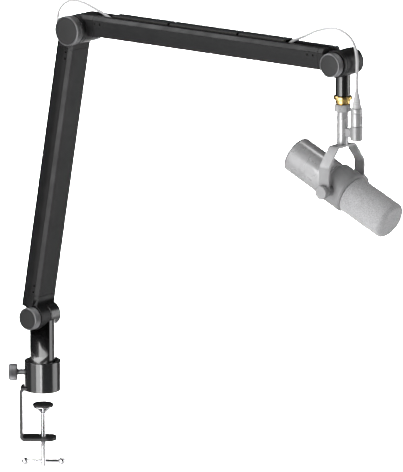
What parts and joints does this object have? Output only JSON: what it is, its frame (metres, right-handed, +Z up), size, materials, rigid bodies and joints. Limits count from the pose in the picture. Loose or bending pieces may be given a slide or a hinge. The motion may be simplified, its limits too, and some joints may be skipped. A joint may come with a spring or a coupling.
{
  "type": "boom arm microphone",
  "caption": "Microphone in a tilting yoke on a two-section black boom arm with a desk clamp, clamping knobs at the pivots and a cable along the arm.",
  "frame": {"origin": "on the post's axis, at the underside of the clamp's base, where it rests on the desk's top face", "axes": "+Z up along the post, +X from the clamp's back out over the desk, +Y to the left of +X; the arm is swung 38.4 degrees from +X towards -Y at rest"},
  "size_m": [0.5787, 0.4545, 0.7397],
  "materials": {
    "black_gloss": "glossy black paint",
    "black_metal": "black anodised aluminium, satin, with fine turning lines",
    "black_steel": "satin black paint on a steel strap",
    "black_arm": "black anodised extrusion, satin",
    "black_trim": "matt black plastic",
    "knurled_metal": "dark grey anodised aluminium, knurled rim",
    "chrome": "bright chrome plating",
    "steel": "plain steel",
    "brass": "bright brass",
    "rubber": "matt black rubber",
    "pale_metal": "pale grey satin paint",
    "grey_metal": "mid grey satin aluminium",
    "grey_foam": "mid grey open-cell foam",
    "pale_cable": "pale grey cable jacket",
    "circuit_board": "green circuit board"
  },
  "bodies": {
    "clamp": {"clamp_base": "black_gloss", "clamp_strap": "black_steel", "strap_screw_front": "steel", "strap_screw_back": "steel", "socket_bush": "black_trim"},
    "clamp_pad": {"clamp_pad": "chrome", "pad_rubber": "rubber"},
    "clamp_screw": {"clamp_screw": "chrome"},
    "tommy_bar": {"tommy_bar": "chrome", "tommy_ball_left": "chrome", "tommy_ball_right": "chrome"},
    "lock_screw": {"lock_screw_stem": "steel", "lock_screw_knob": "knurled_metal"},
    "post": {"swivel_post": "black_metal", "lower_pivot_bolt": "steel", "lower_friction_washer": "steel"},
    "lower_knob": {"lower_knob": "knurled_metal"},
    "lower_arm": {"lower_arm_tube": "black_arm", "lower_arm_bottom_cap": "black_metal", "lower_arm_top_cap": "black_metal", "lower_channel_cover": "black_trim", "lower_spring": "steel", "cable_in_lower_arm": "pale_cable", "cable_elbow_loop": "pale_cable"},
    "upper_arm": {"upper_arm_tube": "black_arm", "upper_arm_rear_cap": "black_metal", "upper_arm_front_cap": "black_metal", "upper_channel_cover_1": "black_trim", "upper_channel_cover_2": "black_trim", "upper_channel_cover_3": "black_trim", "upper_spring": "steel", "elbow_bolt": "steel", "cable_in_upper_arm": "pale_cable", "cable_wrist_loop": "pale_cable"},
    "elbow_knob": {"elbow_knob": "knurled_metal"},
    "wrist": {"wrist_barrel": "black_metal", "wrist_post": "black_gloss", "wrist_bolt": "steel", "thread_adapter": "brass"},
    "wrist_knob": {"wrist_knob": "knurled_metal"},
    "yoke": {"yoke": "pale_metal", "mount_stem": "pale_metal", "socket_bracket": "pale_metal", "mic_socket": "pale_metal", "cable_plug": "pale_metal", "plug_boot": "pale_cable", "cable_drop": "pale_cable"},
    "mount_nut": {"mount_nut": "pale_metal"},
    "microphone": {"mic_body_shell": "pale_metal", "mic_rear_cap": "pale_metal", "mic_collar": "grey_metal", "front_grille": "steel", "windscreen_foam": "grey_foam", "capsule": "brass", "capsule_mount": "rubber", "circuit_board": "circuit_board"},
    "yoke_knob_near": {"yoke_knob_near": "pale_metal"},
    "yoke_knob_far": {"yoke_knob_far": "pale_metal"}
  },
  "joints": [
    {"name": "clamp_pad_slide", "type": "slide", "parent": "clamp", "child": "clamp_pad", "axis": [0, 0, 1], "range_m": [-0.037, 0.0213]},
    {"name": "clamp_screw_spin", "type": "hinge", "parent": "clamp_pad", "child": "clamp_screw", "pos_m": [0, 0, -0.08], "axis": [0, 0, 1], "range_deg": [-10650, 6130]},
    {"name": "tommy_bar_slide", "type": "slide", "parent": "clamp_screw", "child": "tommy_bar", "axis": [1, 0, 0], "range_m": [-0.017, 0.017]},
    {"name": "lock_screw_spin", "type": "hinge", "parent": "clamp", "child": "lock_screw", "pos_m": [-0.045, 0, 0.028], "axis": [1, 0, 0], "continuous": true},
    {"name": "arm_swivel", "type": "hinge", "parent": "clamp", "child": "post", "pos_m": [0, 0, 0.03], "axis": [0, 0, 1], "continuous": true},
    {"name": "lower_pivot", "type": "hinge", "parent": "post", "child": "lower_arm", "pos_m": [0, 0, 0.117], "axis": [0.6211, 0.7837, 0], "range_deg": [-48, 55]},
    {"name": "lower_knob_spin", "type": "hinge", "parent": "post", "child": "lower_knob", "pos_m": [-0.01863, -0.02351, 0.117], "axis": [0.6211, 0.7837, 0], "continuous": true},
    {"name": "elbow", "type": "hinge", "parent": "lower_arm", "child": "upper_arm", "pos_m": [0.06955, -0.05513, 0.56938], "axis": [0.6211, 0.7837, 0], "range_deg": [-60, 45], "deforming": ["cable_elbow_loop"]},
    {"name": "elbow_knob_spin", "type": "hinge", "parent": "upper_arm", "child": "elbow_knob", "pos_m": [0.04719, -0.08334, 0.56938], "axis": [0.6211, 0.7837, 0], "continuous": true},
    {"name": "wrist", "type": "hinge", "parent": "upper_arm", "child": "wrist", "pos_m": [0.44142, -0.34987, 0.56938], "axis": [0.6211, 0.7837, 0], "range_deg": [-90, 20], "deforming": ["cable_wrist_loop"]},
    {"name": "wrist_knob_spin", "type": "hinge", "parent": "wrist", "child": "wrist_knob", "pos_m": [0.42465, -0.37103, 0.56938], "axis": [0.6211, 0.7837, 0], "continuous": true},
    {"name": "mic_swivel", "type": "hinge", "parent": "wrist", "child": "yoke", "pos_m": [0.44142, -0.34987, 0.50438], "axis": [0, 0, 1], "range_deg": [-90, 90]},
    {"name": "mount_nut_spin", "type": "hinge", "parent": "yoke", "child": "mount_nut", "pos_m": [0.44142, -0.34987, 0.50538], "axis": [0, 0, 1], "continuous": true},
    {"name": "mic_tilt", "type": "hinge", "parent": "yoke", "child": "microphone", "pos_m": [0.44142, -0.34987, 0.39038], "axis": [0.6211, 0.7837, 0], "range_deg": [-58, 18]},
    {"name": "yoke_knob_near_spin", "type": "hinge", "parent": "yoke", "child": "yoke_knob_near", "pos_m": [0.41161, -0.38749, 0.39038], "axis": [0.6211, 0.7837, 0], "continuous": true},
    {"name": "yoke_knob_far_spin", "type": "hinge", "parent": "yoke", "child": "yoke_knob_far", "pos_m": [0.47124, -0.31225, 0.39038], "axis": [0.6211, 0.7837, 0], "continuous": true}
  ],
  "couplings": [
    {"joint": "clamp_pad_slide", "follows": "clamp_screw_spin", "m_per_rad": 0.00019894}
  ]
}
